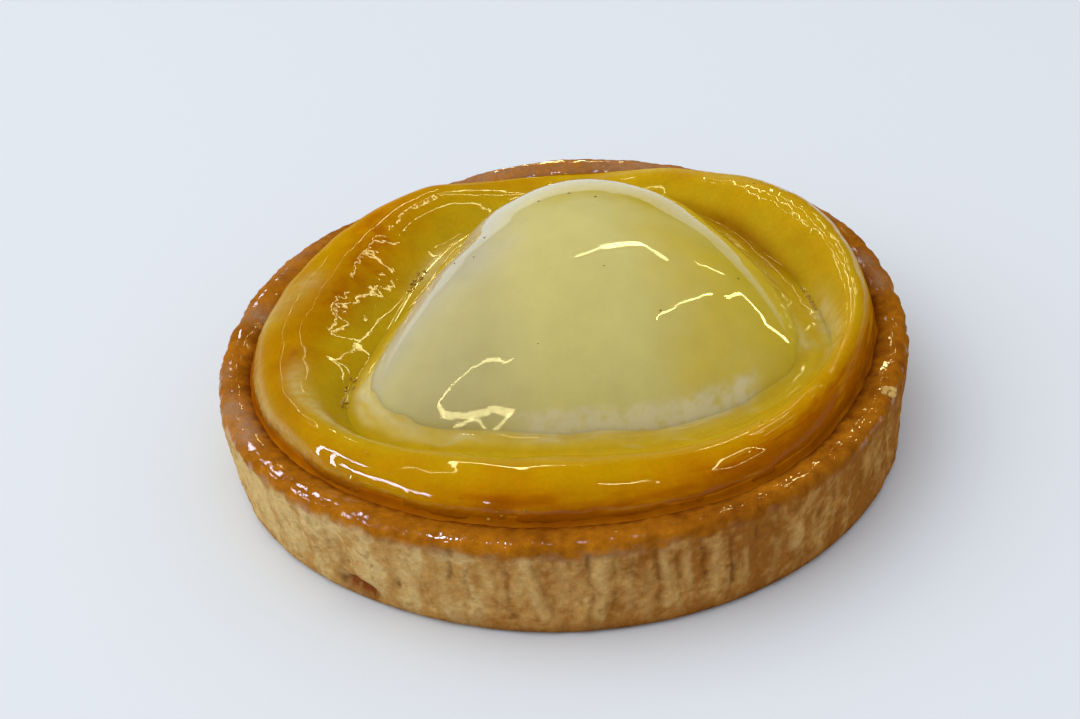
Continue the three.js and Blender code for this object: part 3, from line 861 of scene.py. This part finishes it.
def make_crumbs():
    draw = np.random.RandomState(5)
    places = []
    for start, end, near, far, count, radius in CRUMB_RUNS:
        for _ in range(count):
            at = np.radians(draw.uniform(start, end))
            point = filling_point(np.array(at), np.array(draw.uniform(near, far)))
            colour = mix(CRUMB_DARK, CRUMB_LIGHT, draw.uniform(0, 1))
            places.append((point + (0, 0, 0.12), radius * draw.uniform(0.6, 1.3), 0.7, colour))
    where, count, radius = RIM_CRUMBS
    at = np.radians(where)
    for _ in range(count):
        away, along = rim_radius(at) - 0.9 + draw.normal(0, 0.4), at + draw.normal(0, 0.012)
        spot = polar(CASE_CENTRE, away, along, rim_height(at) - 0.1)
        places.append((spot, radius * draw.uniform(0.6, 1.2), 0.7, CRUMB_PALE))
    return lump_cloud("crumbs", places, 6, crumb_material(), "filling")


# Specks on the pear: degrees, part, radius
PEAR_SPECKS = (
    (95, 0.3, 0.2), (120, 0.34, 0.18), (70, 0.25, 0.22), (165, 0.5, 0.16), (178, 0.62, 0.18),
    (186, 0.5, 0.15), (-60, 0.62, 0.16), (-110, 0.7, 0.14), (-20, 0.7, 0.18), (-75, 0.35, 0.14))
SPECK_BROWN = srgb(84, 62, 20)


def make_specks():
    places = []
    for at, part, radius in PEAR_SPECKS:
        point = pear_point(np.radians(np.array([at])), np.array([part]))[0]
        places.append((point, radius, 0.35, SPECK_BROWN))
    return lump_cloud("pear_specks", places, 8, crumb_material(), "pear")


crust = make_crust()
filling = make_filling()
pear = make_pear()
skirt = make_skirt()
make_bead()
crumbs = make_crumbs()
specks = make_specks()


# ---------------------------------------- floor, light and camera

# Point that the lights stand round, in metres
LIT_POINT = (0, 0, 0.02)
WARM, COOL, WHITE = (1.0, 0.88, 0.4), (0.8, 0.8, 1.0), (1.0, 0.97, 0.92)

# The photo's camera: its place in metres and its turns about X, Y and Z in degrees
CAMERA_PLACE = (0.0005, -0.219886, 0.155944)
CAMERA_TURNS = (56.1741, 4.8467, -2.2648)


def make_floor(half=3.0):
    """Plain pale square on which the tartlet stands, half its side in metres."""
    mesh = bpy.data.meshes.new("floor")
    corners = [(-half, -half, 0), (half, -half, 0), (half, half, 0), (-half, half, 0)]
    mesh.from_pydata(corners, [], [(0, 1, 2, 3)])
    floor = bpy.data.objects.new("floor", mesh)
    bpy.context.scene.collection.objects.link(floor)
    m = Shader("floor", Base_Color=(0.76, 0.83, 0.93, 1), Roughness=0.7, Specular_IOR_Level=0.2)
    mesh.materials.append(m.material)


def make_tube(name, start, end, width, radiance, colour, pieces=(), distance=1.3, mirrored=True):
    """Long light between two directions (azimuth, elevation) in degrees, width degrees across.

    It shines only on the pieces, if any are given. If mirrored, it shows in gloss and lights nothing else;
    if not, it lights what is there and stays out of the gloss.
    """
    ends = []
    for azimuth, elevation in (start, end):
        a, e = np.radians(azimuth), np.radians(elevation)
        ends.append(Vector((np.cos(a) * np.cos(e), np.sin(a) * np.cos(e), np.sin(e))) * distance)
    middle = (ends[0] + ends[1]) / 2
    away = middle.normalized()
    along = (ends[1] - ends[0]).normalized()
    across = away.cross(along).normalized()
    away = along.cross(across)
    lamp = bpy.data.lights.new(name, "AREA")
    lamp.shape = "RECTANGLE"
    lamp.size, lamp.size_y = (ends[1] - ends[0]).length, 2 * distance * np.tan(np.radians(width) / 2)
    lamp.energy = radiance * np.pi * lamp.size * lamp.size_y
    lamp.color = colour
    light = bpy.data.objects.new(name, lamp)
    turned = Matrix((along, across, away)).transposed().to_4x4()
    light.matrix_world = Matrix.Translation(middle + Vector(LIT_POINT)) @ turned
    light.visible_glossy, light.visible_diffuse = mirrored, not mirrored
    bpy.context.scene.collection.objects.link(light)
    if pieces:
        receivers = bpy.data.collections.new(name + "_receivers")
        for piece in pieces:
            receivers.objects.link(piece)
        light.light_linking.receiver_collection = receivers


make_floor()
make_tube("softbox", (120, 80), (190, 22), width=60, radiance=1.14, colour=WHITE, distance=1.6,
          mirrored=False)

# Reflections of the room on each piece: width, radiance, colour and the directions that the line runs through
PEAR_REFLECTIONS = (
    (1.4, 44, WARM, (93, 66), (76, 58)), (4.0, 44, WARM, (77, 58), (67, 51), (60, 44)),
    (2.6, 36, WARM, (60, 44), (52, 46), (44, 46)),
    (1.2, 24, WARM, (46, 30), (46, 17)), (0.8, 56, WARM, (-36, 58), (-4, 54), (20, 38)),
    (1.6, 34, WARM, (23, 31), (36, 17)), (2.2, 34, WARM, (36, 17), (31, 12), (24, 14)),
    (2.0, 34, WARM, (25, 14), (31, 2)),
    (1.0, 36, WARM, (-131, 41), (-137, 30)), (1.8, 36, WARM, (-137, 30), (-138, 24), (-129, 19)),
    (2.6, 30, WARM, (-130, 19), (-119, 16)), (1.2, 30, WARM, (-119, 16), (-125, 6)))
FILLING_REFLECTIONS = (
    (0.8, 44, WARM, (176, 56), (132, 69), (97, 38)), (1.3, 50, WARM, (97, 38), (84, 27)),
    (0.8, 26, WARM, (57, 50), (75, 45), (67, 37), (71, 31), (53, 26)), (0.8, 30, WARM, (38, 45), (31, 54)),
    (0.9, 26, WARM, (72, 44), (40, 40)), (0.8, 22, WARM, (72, 32), (56, 33)),
    (0.8, 40, WARM, (138, 37), (134, 46), (113, 41), (125, 33), (112, 23)),
    (1.5, 56, WARM, (-42, 59), (-9, 68), (6, 69)), (1.1, 56, WARM, (4, 68), (-13, 34)),
    (0.9, 50, WARM, (-42, 59), (-35, 42), (-14, 33)),
    (3.2, 50, COOL, (-181, 26), (-176, 38), (-168, 38)), (2.4, 50, COOL, (-180, 27), (-179, 2)),
    (2.4, 50, COOL, (-173, 36), (-165, 6)), (6.0, 50, COOL, (-163, 18), (-145, 16)),
    (3.0, 40, COOL, (-121, 21), (-117, 19)), (1.6, 60, WARM, (-67, 75), (-67, 72)),
    (2.0, 60, WARM, (-65, 63), (-65, 59)), (1.8, 56, WARM, (-18, 57), (-18, 54)))
SKIRT_REFLECTIONS = (
    (1.0, 44, WARM, (-128, 46), (-98, 55), (-50, 50)), (0.8, 30, WARM, (72, 44), (40, 40)))
CRUST_REFLECTIONS = (
    (6.0, 40, COOL, (107, 34), (118, 47)), (3.0, 46, COOL, (178, 32), (162, 41), (150, 42)),
    (3.0, 46, COOL, (176, 47), (153, 51), (140, 53)), (3.0, 80, COOL, (-154, 52), (-178, 56)),
    (3.0, 140, COOL, (132, 65), (114, 57)), (2.5, 140, COOL, (100, 73), (92, 73)),
    (1.4, 70, WARM, (93, 4), (92, 12), (84, 34)), (1.2, 70, WARM, (76, 54), (73, 38)),
    (1.2, 70, WARM, (52, 46), (44, 46)))
for label, pieces, reflections in (
        ("pear", (pear, specks), PEAR_REFLECTIONS), ("filling", (filling, crumbs), FILLING_REFLECTIONS),
        ("skirt", (skirt,), SKIRT_REFLECTIONS), ("crust", (crust,), CRUST_REFLECTIONS)):
    for number, (width, radiance, colour, *path) in enumerate(reflections):
        for step, (start, end) in enumerate(zip(path, path[1:])):
            make_tube(f"{label}_light_{number}_{step}", start, end, width, radiance, colour, pieces)


def make_world():
    """Even pale light all round; in the gloss, a dark room with a paler window behind and to the left."""
    world = bpy.data.worlds.new("studio")
    world.use_nodes = True
    world.node_tree.nodes.clear()
    n = Nodes(world.node_tree)

    def past(value, low, high):
        """0 below low, 1 above high and smooth between them; low may be the larger."""
        return n.add("ShaderNodeMapRange", {"interpolation_type": "SMOOTHSTEP"}, Value=value, From_Min=low,
                     From_Max=high).outputs[0]

    def between(value, low, high, soft):
        return n.math("MULTIPLY", past(value, low - soft, low + soft), past(value, high + soft, high - soft))

    def shine(colour, strength):
        return n.add("ShaderNodeBackground", Color=(*colour, 1), Strength=strength).outputs[0]

    split = n.add("ShaderNodeSeparateXYZ", _0=n.add("ShaderNodeTexCoord").outputs["Generated"])
    turn = n.math("ARCTAN2", split.outputs["Y"], split.outputs["X"])
    window = n.math("MULTIPLY", between(turn, np.radians(100), np.radians(160), 0.15),
                    between(split.outputs["Z"], -0.3, 0.55, 0.1))
    room, pane = shine((1, 0.84, 0.56), 0.05), shine((1.0, 0.86, 0.68), 0.12)
    mirror = n.add("ShaderNodeMixShader", _0=window, _1=room, _2=pane).outputs[0]
    soft = shine((0.9, 0.88, 0.86), 0.765)
    glossy = n.add("ShaderNodeLightPath").outputs["Is Glossy Ray"]
    both = n.add("ShaderNodeMixShader", _0=glossy, _1=soft, _2=mirror).outputs[0]
    n.add("ShaderNodeOutputWorld", Surface=both)
    return world


def make_camera():
    data = bpy.data.cameras.new("camera")
    data.lens, data.sensor_width, data.sensor_fit = 60, 36, "HORIZONTAL"
    data.clip_start = 0.01
    camera = bpy.data.objects.new("camera", data)
    turned = Euler(np.radians(CAMERA_TURNS)).to_matrix().to_4x4()
    camera.matrix_world = Matrix.Translation(CAMERA_PLACE) @ turned
    bpy.context.scene.collection.objects.link(camera)
    return camera


scene = bpy.context.scene
scene.world = make_world()
scene.camera = make_camera()
scene.view_settings.view_transform = "Standard"
scene.view_settings.look = "None"
